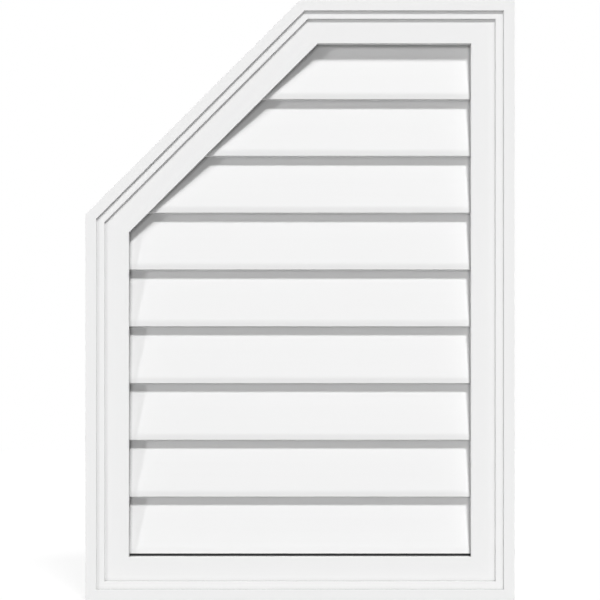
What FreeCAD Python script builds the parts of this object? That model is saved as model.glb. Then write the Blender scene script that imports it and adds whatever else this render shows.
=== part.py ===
import FreeCAD, Part
import math
import os

from FreeCAD import Vector

# Louvred gable vent in a stepped moulding frame, with a sloping upper left corner.
# X runs to the right and Z up as seen from the front. The wall is the plane Y = 0,
# the vent stands out from it towards -Y, and Z = 0 is the underside of the sill.
# Depths are measured from the wall towards the viewer. All sizes are in millimetres.

# Outline of the frame
overall_width = 508.0
overall_height = 711.2
corner_cut_width = 254.0
corner_cut_height = 254.0

# Stepped moulding, from its outer edge to the opening
projection = 38.1
outer_band = 12.7
middle_band = 9.525
inner_band = 28.575
step_drop = 3.5
lip_thickness = 8.2
moulding_edge_radius = 0.4

# Boards behind the moulding's lip that hold the louver ends
liner_thickness = 9.5
housing_depth = 3.2
housing_gap = 0.15

# Louvers
louver_count = 9
louver_thickness = 6.35
louver_overlap = 6.35
nose_height = 6.5
nose_radius = 0.5
nose_ease_radius = 20.0
louver_edge_radius = 0.5
sill_gap = 2.9
head_gap = 0.7
nose_setback = 0.2
louver_back_gap = 1.0

# Foam strip under the lowest louver
seal_setback = 1.0
seal_width = 10.0
seal_edge_radius = 0.4

# Mesh cloth on the backs of the liners
screen_recess = 2.0
screen_thickness = 0.5
screen_margin = 1.0
screen_hem = 5.0
mesh_columns = 8
mesh_rows = 12
mesh_bar = 2.5

# Staples
staple_wire = 1.0
screen_staple_crown = 11.0
screen_staple_leg = 8.0
screen_staple_spacing = 100.0
least_staples_per_side = 2
mitre_staple_crown = 13.0
mitre_staple_leg = 12.0
mitre_staple_inset = 11.0

# Sizes that follow from these
face_width = outer_band + middle_band + inner_band
lip_face = projection - 2 * step_drop
liner_front = lip_face - lip_thickness
liner_back = screen_recess
opening_bottom = face_width
louver_pitch = (overall_height - 2 * face_width - head_gap) / louver_count
nose_depth = liner_front - nose_setback

# The louvers lean back as far as the depth of the liners allows
slope_height = louver_pitch + louver_overlap - nose_height
slope_depth = nose_depth - liner_back - louver_back_gap
slope_reach = math.hypot(slope_height, slope_depth)
louver_tilt = math.acos(louver_thickness / slope_reach) - math.atan2(slope_height, slope_depth)

across = Vector(1, 0, 0)
inwards = Vector(0, 1, 0)
upwards = Vector(0, 0, 1)

half_width = overall_width / 2
frame_outline = [
    Vector(-half_width, 0, 0),
    Vector(half_width, 0, 0),
    Vector(half_width, 0, overall_height),
    Vector(corner_cut_width - half_width, 0, overall_height),
    Vector(-half_width, 0, overall_height - corner_cut_height),
]

# Names of the frame's sides, in the order of its outline
moulding_names = ["sill_rail", "right_stile", "head_rail", "raking_rail", "left_stile"]
liner_names = ["sill_liner", "right_liner", "head_liner", "raking_liner", "left_liner"]
sides = range(len(frame_outline))


def direction(start, end):
    return (end - start).normalize()


def move_outwards(corners, distance, axis):
    # Corners of an outline that runs anticlockwise, looked at along the axis
    moved = []
    for index, corner in enumerate(corners):
        following = corners[(index + 1) % len(corners)]
        first = axis.cross(direction(corners[index - 1], corner))
        second = axis.cross(direction(corner, following))
        moved.append(corner + (first + second) * (distance / (1 + first.dot(second))))
    return moved


def outline_at(offset):
    # The louver opening's outline, moved outwards into the frame
    return move_outwards(frame_outline, offset - face_width, inwards)


def closed_face(corners):
    return Part.Face(Part.makePolygon(corners + corners[:1]))


def slab(corners, low_depth, high_depth):
    placed = [corner - inwards * low_depth for corner in corners]
    return closed_face(placed).extrude(inwards * (low_depth - high_depth))


def rounded_face(corners):
    # Face through corners given as a point and the radius that eases it
    points = [point for point, radius in corners]
    stops = []
    for index, (point, radius) in enumerate(corners):
        back = direction(point, points[index - 1])
        ahead = direction(point, points[(index + 1) % len(points)])
        half_angle = back.getAngle(ahead) / 2
        reach = radius / math.tan(half_angle)
        bisector = (back + ahead).normalize()
        crown = point + bisector * (radius / math.sin(half_angle) - radius)
        stops.append((point + back * reach, crown, point + ahead * reach, radius))
    edges = []
    for index, (start, crown, end, radius) in enumerate(stops):
        if radius > 0:
            edges.append(Part.Arc(start, crown, end).toShape())
        next_start = stops[(index + 1) % len(stops)][0]
        edges.append(Part.LineSegment(end, next_start).toShape())
    return Part.Face(Part.Wire(edges))


def side_wedge(side, inner_offset, outer_offset, low_depth, high_depth):
    # The stretch of the frame along one side, with its mitred ends
    inner = outline_at(inner_offset)
    outer = outline_at(outer_offset)
    following = (side + 1) % len(frame_outline)
    corners = [inner[side], inner[following], outer[following], outer[side]]
    return slab(corners, low_depth, high_depth)


def side_line(side, offset):
    corners = outline_at(offset)
    return corners[side], corners[(side + 1) % len(corners)]


def moulding(side):
    start, end = side_line(side, 0)
    along = direction(start, end)
    out = inwards.cross(along)
    allowance = along * (2 * face_width)
    middle_edge = inner_band + middle_band
    middle_face = projection - step_drop
    profile = [
        (liner_thickness, 0, 0),
        (face_width, 0, 0),
        (face_width, projection, moulding_edge_radius),
        (middle_edge, projection, moulding_edge_radius),
        (middle_edge, middle_face, 0),
        (inner_band, middle_face, moulding_edge_radius),
        (inner_band, lip_face, 0),
        (0, lip_face, moulding_edge_radius),
        (0, liner_front, 0),
        (liner_thickness, liner_front, 0),
    ]
    origin = start - allowance
    section = [(origin + out * offset - inwards * depth, radius) for offset, depth, radius in profile]
    bar = rounded_face(section).extrude(end - start + allowance * 2)
    return bar.common(side_wedge(side, 0, face_width, 0, projection))


def louver_section(number):
    # Corners of a blade's section, from the foot of its nose up the front and down the back
    edge_height = opening_bottom + sill_gap + (louver_count - number) * louver_pitch
    up_slope = Vector(0, math.sin(louver_tilt), math.cos(louver_tilt))
    through = Vector(0, math.cos(louver_tilt), -math.sin(louver_tilt))
    foot = Vector(-half_width, -nose_depth, edge_height)
    brow = foot + upwards * nose_height
    top_front = brow + up_slope * (slope_height / math.cos(louver_tilt))
    top_back = top_front + inwards * (louver_thickness / math.cos(louver_tilt))
    heel = foot + through * (louver_thickness - nose_height * math.sin(louver_tilt))
    return [foot, brow, top_front, top_back, heel]


def louver(number):
    radii = [nose_radius, nose_ease_radius, louver_edge_radius, louver_edge_radius, louver_edge_radius]
    section = rounded_face(list(zip(louver_section(number), radii)))
    field = slab(outline_at(housing_depth - housing_gap), 0, projection)
    return section.extrude(across * overall_width).common(field)


def louver_housing(number):
    corners = move_outwards(louver_section(number), housing_gap, across)
    field = slab(outline_at(housing_depth), 0, projection)
    return closed_face(corners).extrude(across * overall_width).common(field)


def liner(side):
    return side_wedge(side, 0, liner_thickness, liner_back, liner_front)


def sill_seal():
    # The strip lies on the sill, set back from the nose, and just clears the blade's heel
    start, end = side_line(0, 0)
    heel = louver_section(louver_count)[-1]
    rise = upwards * (heel.z - start.z - housing_gap)
    front = start - inwards * (nose_depth - seal_setback)
    back = front + inwards * seal_width
    corners = [(front, 0), (front + rise, seal_edge_radius), (back + rise, seal_edge_radius), (back, 0)]
    return rounded_face(corners).extrude(end - start)


def staple(middle, along, crown_depth, crown, leg):
    # Squared wire bent to a U, its crown towards the wall and its legs driven forwards
    half = crown / 2
    profile = [
        (-half, 0),
        (half, 0),
        (half, leg),
        (half - staple_wire, leg),
        (half - staple_wire, staple_wire),
        (staple_wire - half, staple_wire),
        (staple_wire - half, leg),
        (-half, leg),
    ]
    sideways = inwards.cross(along)
    origin = middle - sideways * (staple_wire / 2) - inwards * crown_depth
    corners = [origin + along * place - inwards * depth for place, depth in profile]
    return closed_face(corners).extrude(sideways * staple_wire)


def screen_staples(side):
    start, end = side_line(side, (housing_depth + liner_thickness) / 2)
    run = end - start
    count = max(least_staples_per_side, int(run.Length // screen_staple_spacing))
    crown_depth = liner_back - screen_thickness - staple_wire
    made = []
    for index in range(count):
        middle = start + run * ((index + 0.5) / count)
        made.append(staple(middle, direction(start, end), crown_depth, screen_staple_crown, screen_staple_leg))
    return made


def mitre_staples(side):
    made = []
    for offset in (liner_thickness + mitre_staple_inset, face_width - mitre_staple_inset):
        mitre = direction(outline_at(0)[side], outline_at(face_width)[side])
        middle = outline_at(offset)[side]
        made.append(staple(middle, inwards.cross(mitre), 0, mitre_staple_crown, mitre_staple_leg))
    return made


def insect_screen():
    # Cloth with a hem; each gap stands for a block of its fine meshes
    cloth_back = liner_back - screen_thickness
    sheet = slab(outline_at(liner_thickness - screen_margin), cloth_back, liner_back)
    field_outline = outline_at(-screen_hem)
    field = slab(field_outline, cloth_back, liner_back)
    corner = field_outline[0]
    reach = field_outline[2] - corner
    column = (reach.x + mesh_bar) / mesh_columns
    row = (reach.z + mesh_bar) / mesh_rows
    gap_outline = [
        corner,
        corner + across * (column - mesh_bar),
        corner + across * (column - mesh_bar) + upwards * (row - mesh_bar),
        corner + upwards * (row - mesh_bar),
    ]
    gaps = []
    for column_index in range(mesh_columns):
        for row_index in range(mesh_rows):
            shift = across * (column * column_index) + upwards * (row * row_index)
            gap = slab([point + shift for point in gap_outline], cloth_back, liner_back)
            gaps.append(gap.common(field))
    return sheet.cut([gap for gap in gaps if gap.Solids])


parts = {}

driven_through_screen = [made for side in sides for made in screen_staples(side)]
driven_across_mitres = [made for side in sides for made in mitre_staples(side)]
parts["screen_staples"] = Part.makeCompound(driven_through_screen)
parts["mitre_staples"] = Part.makeCompound(driven_across_mitres)

for side in sides:
    parts[moulding_names[side]] = moulding(side).cut(driven_across_mitres)

numbers = range(1, louver_count + 1)
for number in numbers:
    parts["louver_" + str(number)] = louver(number)

cuts = [louver_housing(number) for number in numbers] + driven_through_screen
for side in sides:
    parts[liner_names[side]] = liner(side).cut(cuts)
parts["sill_seal"] = sill_seal()

parts["insect_screen"] = insect_screen().cut(driven_through_screen)

os.makedirs("parts", exist_ok=True)
for name, shape in parts.items():
    shape.exportStep("parts/" + name + ".step")
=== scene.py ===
import math

import bmesh
import bpy
from mathutils import Matrix, Vector


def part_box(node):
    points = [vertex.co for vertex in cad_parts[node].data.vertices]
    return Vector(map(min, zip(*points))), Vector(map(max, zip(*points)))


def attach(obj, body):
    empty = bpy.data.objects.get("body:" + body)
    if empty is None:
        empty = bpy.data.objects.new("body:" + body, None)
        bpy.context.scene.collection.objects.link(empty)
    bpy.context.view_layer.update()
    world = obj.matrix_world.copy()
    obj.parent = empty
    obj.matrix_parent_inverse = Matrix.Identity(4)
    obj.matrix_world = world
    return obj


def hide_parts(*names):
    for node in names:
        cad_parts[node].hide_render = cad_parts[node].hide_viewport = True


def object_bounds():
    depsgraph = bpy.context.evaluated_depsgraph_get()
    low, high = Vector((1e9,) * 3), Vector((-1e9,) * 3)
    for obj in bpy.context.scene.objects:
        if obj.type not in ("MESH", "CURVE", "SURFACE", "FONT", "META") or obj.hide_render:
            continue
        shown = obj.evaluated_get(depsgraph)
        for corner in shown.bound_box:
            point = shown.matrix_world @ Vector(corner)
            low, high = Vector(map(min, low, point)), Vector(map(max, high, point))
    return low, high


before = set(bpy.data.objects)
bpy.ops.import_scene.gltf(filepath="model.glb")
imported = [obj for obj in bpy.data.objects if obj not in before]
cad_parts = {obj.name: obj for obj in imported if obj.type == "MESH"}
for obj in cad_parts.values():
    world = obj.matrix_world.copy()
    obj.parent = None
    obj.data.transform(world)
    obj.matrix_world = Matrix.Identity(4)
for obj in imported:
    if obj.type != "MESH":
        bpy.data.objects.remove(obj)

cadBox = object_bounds()
boxLow, boxHigh = cadBox
print("frame loaded:", len(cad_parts), "pieces")

sides = ["sill", "right", "head", "raking", "left"]
mouldings = ["sill_rail", "right_stile", "head_rail", "raking_rail", "left_stile"]
liners = [side + "_liner" for side in sides]
louvers = sorted(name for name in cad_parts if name.startswith("louver_"))
staples = ["screen_staples", "mitre_staples"]


class Shade:
    # a shader socket that can be used in Python sums
    def __init__(self, tree, socket=None):
        self.tree = tree
        self.socket = socket

    def add(self, kind, settings=None, inputs=None, output=0):
        node = self.tree.nodes.new(kind)
        for name, value in (settings or {}).items():
            setattr(node, name, value)
        for name, value in (inputs or {}).items():
            if isinstance(value, Shade):
                self.tree.links.new(value.socket, node.inputs[name])
            else:
                node.inputs[name].default_value = value
        return Shade(self.tree, node.outputs[output] if node.outputs else None)

    def maths(self, operation, first, second):
        return self.add("ShaderNodeMath", {"operation": operation}, {0: first, 1: second})

    def __add__(self, other):
        return self.maths("ADD", self, other)

    __radd__ = __add__

    def __sub__(self, other):
        return self.maths("SUBTRACT", self, other)

    def __rsub__(self, other):
        return self.maths("SUBTRACT", other, self)

    def __mul__(self, other):
        return self.maths("MULTIPLY", self, other)

    __rmul__ = __mul__

    def __gt__(self, other):
        return self.maths("GREATER_THAN", self, other)


def newMaterial(name):
    material = bpy.data.materials.new(name)
    material.use_nodes = True
    material.node_tree.nodes.clear()
    return material, Shade(material.node_tree)


def objectPlace(shade, turn=0.0, stretch=(1.0, 1.0, 1.0)):
    place = shade.add("ShaderNodeTexCoord", output="Object")
    rotation = (0.0, math.radians(turn), 0.0)
    turned = shade.add("ShaderNodeMapping", None, {"Vector": place, "Rotation": rotation})
    return shade.add("ShaderNodeVectorMath", {"operation": "MULTIPLY"}, {0: turned, 1: stretch})


def noise(shade, place, scale, detail):
    return shade.add("ShaderNodeTexNoise", None, {"Vector": place, "Scale": scale, "Detail": detail})


def grey(level):
    return (level, level, level)


def blendColours(shade, mask, first, second):
    ends = [end if isinstance(end, Shade) else (*end, 1.0) for end in (first, second)]
    return shade.add("ShaderNodeMix", {"data_type": "RGBA"}, {0: mask, 6: ends[0], 7: ends[1]}, 2)


def finishSurface(shade, inputs):
    shader = shade.add("ShaderNodeBsdfPrincipled", None, inputs)
    shade.add("ShaderNodeOutputMaterial", None, {"Surface": shader})


def bump(shade, height):
    return shade.add("ShaderNodeBump", None, {"Distance": 1.0, "Height": height})


def dress(node, material):
    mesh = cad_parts[node].data
    mesh.materials.clear()
    mesh.materials.append(material)


# satin skin of the cellular plastic, with a duller sawn back
# each kind of piece has its tones, and the tone, strength and width of the painted shade in its crevices
pvc = {
    "frame": {"light": 0.872, "dark": 0.848, "paintedShadeTone": 0.3, "paintedShadeShare": 0.48, "reach": 0.0045},
    "liner": {"light": 0.84, "dark": 0.81, "paintedShadeTone": 0.1, "paintedShadeShare": 0.1, "reach": 0.0045},
    # painted shade: darker liner tones and strong, wide crevice shade for the raking and left sides
    "paintedShadeLiner": {"light": 0.58, "dark": 0.55, "paintedShadeTone": 0.02, "paintedShadeShare": 1.0, "reach": 0.05},
    "louver": {"light": 0.812, "dark": 0.792, "paintedShadeTone": 0.05, "paintedShadeShare": 1.0, "reach": 0.004},
    "paintedShadeSides": ["raking", "left"],  # their liners are painted darker: painted shade for the dim reveals on these sides
    "grainTurns": dict(zip(sides, (0.0, 90.0, 0.0, -45.0, 90.0))),  # degrees from level, seen from the front
    "paintedShadeRays": 5,         # rays of the painted crevice shade, per sample
    "ledgePaintedShade": 5.0,         # added share of painted shade in crevices on ledges
    "ledgeFacing": 0.7,       # least upward facing of a ledge
    "skinDepth": 0.0004,      # nearer the back than this, the plastic is sawn
    "sawnLight": (0.84, 0.838, 0.83),
    "sawnDark": (0.775, 0.772, 0.762),
    "cloudScale": 7.0,        # per metre
    "cloudShare": 0.6,        # the rest of the tone is streaks
    "streakScale": 300.0,
    "streakLength": 0.012,    # share of the cross scale
    "peelScale": 620.0,
    "poreScale": 900.0,
    "roughness": 0.56,
    "roughnessSpread": 0.1,
    "sawnRoughness": 0.3,     # added on sawn faces
    "peelHeight": 0.000012,
    "poreHeight": 0.00018,
    "ior": 1.5,
}


# painted shade: the base colour darkens where ambient occlusion finds crevices, more on upward ledges, never
# on sawn faces
def paintedShadeMask(shade, tones, sawn):
    rays, reach = {"samples": pvc["paintedShadeRays"]}, {"Distance": tones["reach"]}
    openness = shade.add("ShaderNodeAmbientOcclusion", rays, reach, "AO")
    normal = shade.add("ShaderNodeNewGeometry", output="Normal")
    facing = shade.add("ShaderNodeSeparateXYZ", None, {0: normal}, "Z")
    # painted shade is stronger on upward-facing ledges
    ledgeShade = 1.0 + (facing > pvc["ledgeFacing"]) * pvc["ledgePaintedShade"]
    return shade.maths("MINIMUM", (1.0 - openness) * ledgeShade * tones["paintedShadeShare"], 1.0 - sawn)


def pvcFinish(name, group, turn, back):
    material, shade = newMaterial(name)
    tones = pvc[group]
    place = objectPlace(shade, turn)
    along = objectPlace(shade, turn, (pvc["streakLength"], 1.0, 1.0))
    cloud = noise(shade, place, pvc["cloudScale"], 3.0)
    streak = noise(shade, along, pvc["streakScale"], 2.0)
    peel = noise(shade, place, pvc["peelScale"], 2.0)
    pores = noise(shade, place, pvc["poreScale"], 1.0)
    sawn = shade.add("ShaderNodeSeparateXYZ", None, {0: objectPlace(shade)}, "Y") > back - pvc["skinDepth"]
    mottle = cloud * pvc["cloudShare"] + streak * (1.0 - pvc["cloudShare"])
    skin = blendColours(shade, mottle, grey(tones["light"]), grey(tones["dark"]))
    core = blendColours(shade, pores, pvc["sawnLight"], pvc["sawnDark"])
    clean = blendColours(shade, sawn, skin, core)
    spread = (streak + peel - 1.0) * pvc["roughnessSpread"]
    finishSurface(shade, {
        # the base colour carries painted shade in crevices
        "Base Color": blendColours(shade, paintedShadeMask(shade, tones, sawn), clean, grey(tones["paintedShadeTone"])),
        "Roughness": pvc["roughness"] + spread + sawn * pvc["sawnRoughness"],
        "Normal": bump(shade, peel * pvc["peelHeight"] * (1.0 - sawn) + pores * pvc["poreHeight"] * sawn),
        "IOR": pvc["ior"],
    })
    return material


for side, moulding, liner in zip(sides, mouldings, liners):
    turn = pvc["grainTurns"][side]
    # the raking and left liners get the darker, painted-shade tones
    group = "paintedShadeLiner" if side in pvc["paintedShadeSides"] else "liner"
    dress(moulding, pvcFinish(moulding + "_satin", "frame", turn, boxHigh.y))
    dress(liner, pvcFinish(liner + "_satin", group, turn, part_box(liner)[1].y))
louverSatin = pvcFinish("louver_satin", "louver", 0.0, boxHigh.y)
for louver in louvers:
    dress(louver, louverSatin)
print("frame, liners and louvers dressed")


# bright steel wire with drawing lines
steel = {
    "lightTone": (0.66, 0.66, 0.67),
    "darkTone": (0.48, 0.48, 0.5),
    "blotchScale": 260.0,
    "lineScale": 2600.0,
    "roughness": 0.3,
    "roughnessSpread": 0.22,
    "lineHeight": 0.00002,
}


def steelFinish():
    material, shade = newMaterial("staple_steel")
    place = objectPlace(shade)
    blotch = noise(shade, place, steel["blotchScale"], 3.0)
    lines = noise(shade, place, steel["lineScale"], 1.0)
    finishSurface(shade, {
        "Base Color": blendColours(shade, blotch, steel["lightTone"], steel["darkTone"]),
        "Roughness": steel["roughness"] + (blotch - 0.5) * steel["roughnessSpread"],
        "Normal": bump(shade, lines * steel["lineHeight"]),
        "Metallic": 1.0,
    })
    return material


stapleSteel = steelFinish()
for wires in staples:
    dress(wires, stapleSteel)


# black seal strip with foam cells under the lowest louver; its near-black colour is painted shade for the
# dark gap there
darkSeal = {
    "lightTone": (0.034, 0.034, 0.036),
    "darkTone": (0.014, 0.014, 0.015),
    "cellScale": 1500.0,
    "cellHeight": 0.0003,
    "roughness": 0.88,
    "roughnessSpread": 0.12,
}


def darkSealFinish():
    material, shade = newMaterial("seal_foam")
    place = objectPlace(shade)
    cells = shade.add("ShaderNodeTexVoronoi", None, {"Vector": place, "Scale": darkSeal["cellScale"]})
    finishSurface(shade, {
        "Base Color": blendColours(shade, cells, darkSeal["darkTone"], darkSeal["lightTone"]),
        "Roughness": darkSeal["roughness"] + (cells - 0.5) * darkSeal["roughnessSpread"],
        "Normal": bump(shade, cells * darkSeal["cellHeight"]),
    })
    return material


dress("sill_seal", darkSealFinish())
print("staples and seal dressed")


# coated glass-fibre threads of the insect screen
cloth = {
    "warpPitch": 0.00141,     # upright threads
    "weftPitch": 0.00159,     # level threads
    "thread": 0.00028,
    "lightTone": (0.075, 0.077, 0.08),
    "darkTone": (0.03, 0.031, 0.033),
    "toneScale": 900.0,
    "roughness": 0.5,
    "roughnessSpread": 0.2,
}


def clothFinish():
    material, shade = newMaterial("screen_threads")
    tone = noise(shade, objectPlace(shade), cloth["toneScale"], 2.0)
    finishSurface(shade, {
        "Base Color": blendColours(shade, tone, cloth["lightTone"], cloth["darkTone"]),
        "Roughness": cloth["roughness"] + (tone - 0.5) * cloth["roughnessSpread"],
    })
    return material


def addThread(bm, low, high):
    middle = Matrix.Translation((low + high) / 2)
    size = Matrix.Diagonal((*(high - low), 1.0))
    bmesh.ops.create_cube(bm, size=1.0, matrix=middle @ size)


def slopeFoot(low):
    # height at which the cloth's left edge meets its slope
    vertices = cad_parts["insect_screen"].data.vertices
    return max(vertex.co.z for vertex in vertices if vertex.co.x < low.x + cloth["thread"])


def addPiece(name, bm, material):
    mesh = bpy.data.meshes.new(name)
    bm.to_mesh(mesh)
    bm.free()
    mesh.materials.append(material)
    piece = bpy.data.objects.new(name, mesh)
    bpy.context.scene.collection.objects.link(piece)
    return piece


def insectScreen():
    low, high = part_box("insect_screen")
    width, height = high.x - low.x, high.z - low.z
    half = cloth["thread"] / 2
    warpY = high.y - half  # upright threads lie outside, level ones against the liners
    weftY = warpY - cloth["thread"]
    rakeFoot = slopeFoot(low)
    columns = int(width / cloth["warpPitch"])
    rows = int(height / cloth["weftPitch"])
    bm = bmesh.new()
    for column in range(columns + 1):
        x = low.x + half + (width - 2 * half) * column / columns
        top = min(high.z, rakeFoot + x - low.x)
        addThread(bm, Vector((x - half, warpY - half, low.z)), Vector((x + half, warpY + half, top)))
    for row in range(rows + 1):
        z = low.z + half + (height - 2 * half) * row / rows
        start = low.x + max(0.0, z - rakeFoot)
        addThread(bm, Vector((start, weftY - half, z - half)), Vector((high.x, weftY + half, z + half)))
    piece = addPiece("screen_cloth", bm, clothFinish())
    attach(piece, "root")
    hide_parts("insect_screen")
    print("screen woven:", columns + 1, "by", rows + 1, "threads")


insectScreen()


# floor, world and lamps
stage = {
    "floorRadius": 2.6,
    "floorSides": 96,
    "floorTone": 0.14,
    "floorGlow": 0.87,        # seen by the camera only
    "frontAmbient": 0.12,
    "backAmbient": 0.5,
    "ambientTurn": (-0.1, 0.5),  # how far back the one gives way to the other
    "key": {"fromRight": 14.0, "elevation": 47.8, "strength": 2.44, "spread": 9.0},
    "reflector": {"fromRight": 0.0, "elevation": -12.0, "strength": 0.66, "spread": 4.0},
    "side": {"fromRight": -47.0, "elevation": 8.8, "strength": 0.68, "spread": 6.0},
    "back": {"fromRight": 150.0, "elevation": 20.0, "strength": 1.8, "spread": 20.0},
}


def seenDirectly(shade):
    kinds = ("Is Camera Ray", "Is Glossy Ray", "Is Transmission Ray")
    camera, glossy, through = [shade.add("ShaderNodeLightPath", output=kind) for kind in kinds]
    return shade.maths("MAXIMUM", shade.maths("MAXIMUM", camera, glossy), through)


def layFloor():
    material, shade = newMaterial("pale_floor")
    matt = shade.add("ShaderNodeBsdfDiffuse", None, {"Color": (*grey(stage["floorTone"]), 1.0)})
    glow = shade.add("ShaderNodeEmission", None, {"Strength": seenDirectly(shade) * stage["floorGlow"]})
    both = shade.add("ShaderNodeAddShader", None, {0: matt, 1: glow})
    shade.add("ShaderNodeOutputMaterial", None, {"Surface": both})
    bm = bmesh.new()
    bmesh.ops.create_circle(bm, cap_ends=True, segments=stage["floorSides"], radius=stage["floorRadius"])
    floor = addPiece("floor", bm, material)
    floor.visible_shadow = False  # the reflector shines up from below it


def lightWorld():
    world = bpy.data.worlds.new("studio")
    world.use_nodes = True
    world.node_tree.nodes.clear()
    bpy.context.scene.world = world
    shade = Shade(world.node_tree)
    towards = shade.add("ShaderNodeTexCoord", output="Generated")
    backwards = shade.add("ShaderNodeSeparateXYZ", None, {0: towards}, "Y")
    start, end = stage["ambientTurn"]
    share = shade.add("ShaderNodeMapRange", {"interpolation_type": "SMOOTHSTEP"},
                      {"Value": backwards, "From Min": start, "From Max": end})
    ambient = stage["frontAmbient"] + share * (stage["backAmbient"] - stage["frontAmbient"])
    strength = shade.maths("MAXIMUM", ambient, seenDirectly(shade))
    white = (*grey(1.0), 1.0)
    background = shade.add("ShaderNodeBackground", None, {"Color": white, "Strength": strength})
    shade.add("ShaderNodeOutputWorld", None, {"Surface": background})


def addSun(name):
    sun = stage[name]
    data = bpy.data.lights.new(name, "SUN")
    data.energy = sun["strength"]
    data.angle = math.radians(sun["spread"])
    lamp = bpy.data.objects.new(name, data)
    bpy.context.scene.collection.objects.link(lamp)
    lamp.visible_glossy = name == "key"
    turn, rise = math.radians(sun["fromRight"]), math.radians(sun["elevation"])
    towards = Vector((math.sin(turn) * math.cos(rise), -math.cos(turn) * math.cos(rise), math.sin(rise)))
    lamp.rotation_euler = towards.to_track_quat("Z", "Y").to_euler()


layFloor()
lightWorld()
for lampName in ("key", "reflector", "side", "back"):
    addSun(lampName)
print("stage lit")


# camera straight in front, far off, filling the square picture with the frame's height
shot = {
    "distance": 2.6,          # from the frame's outer band
    "pictureHeight": 0.7105,  # what the picture shows at that band
    "sensor": 36.0,
    "rise": 0.0001,           # above the frame's middle
    "farthest": 50.0,
}


def setCamera():
    data = bpy.data.cameras.new("camera")
    data.sensor_width = shot["sensor"]
    data.lens = shot["sensor"] * shot["distance"] / shot["pictureHeight"]
    data.clip_end = shot["farthest"]
    camera = bpy.data.objects.new("camera", data)
    bpy.context.scene.collection.objects.link(camera)
    middle = (boxLow + boxHigh) / 2
    camera.location = (middle.x, boxLow.y - shot["distance"], middle.z + shot["rise"])
    camera.rotation_euler = (math.radians(90.0), 0.0, 0.0)  # level, looking at the wall
    bpy.context.scene.camera = camera


setCamera()
bpy.context.scene.view_settings.view_transform = "Standard"
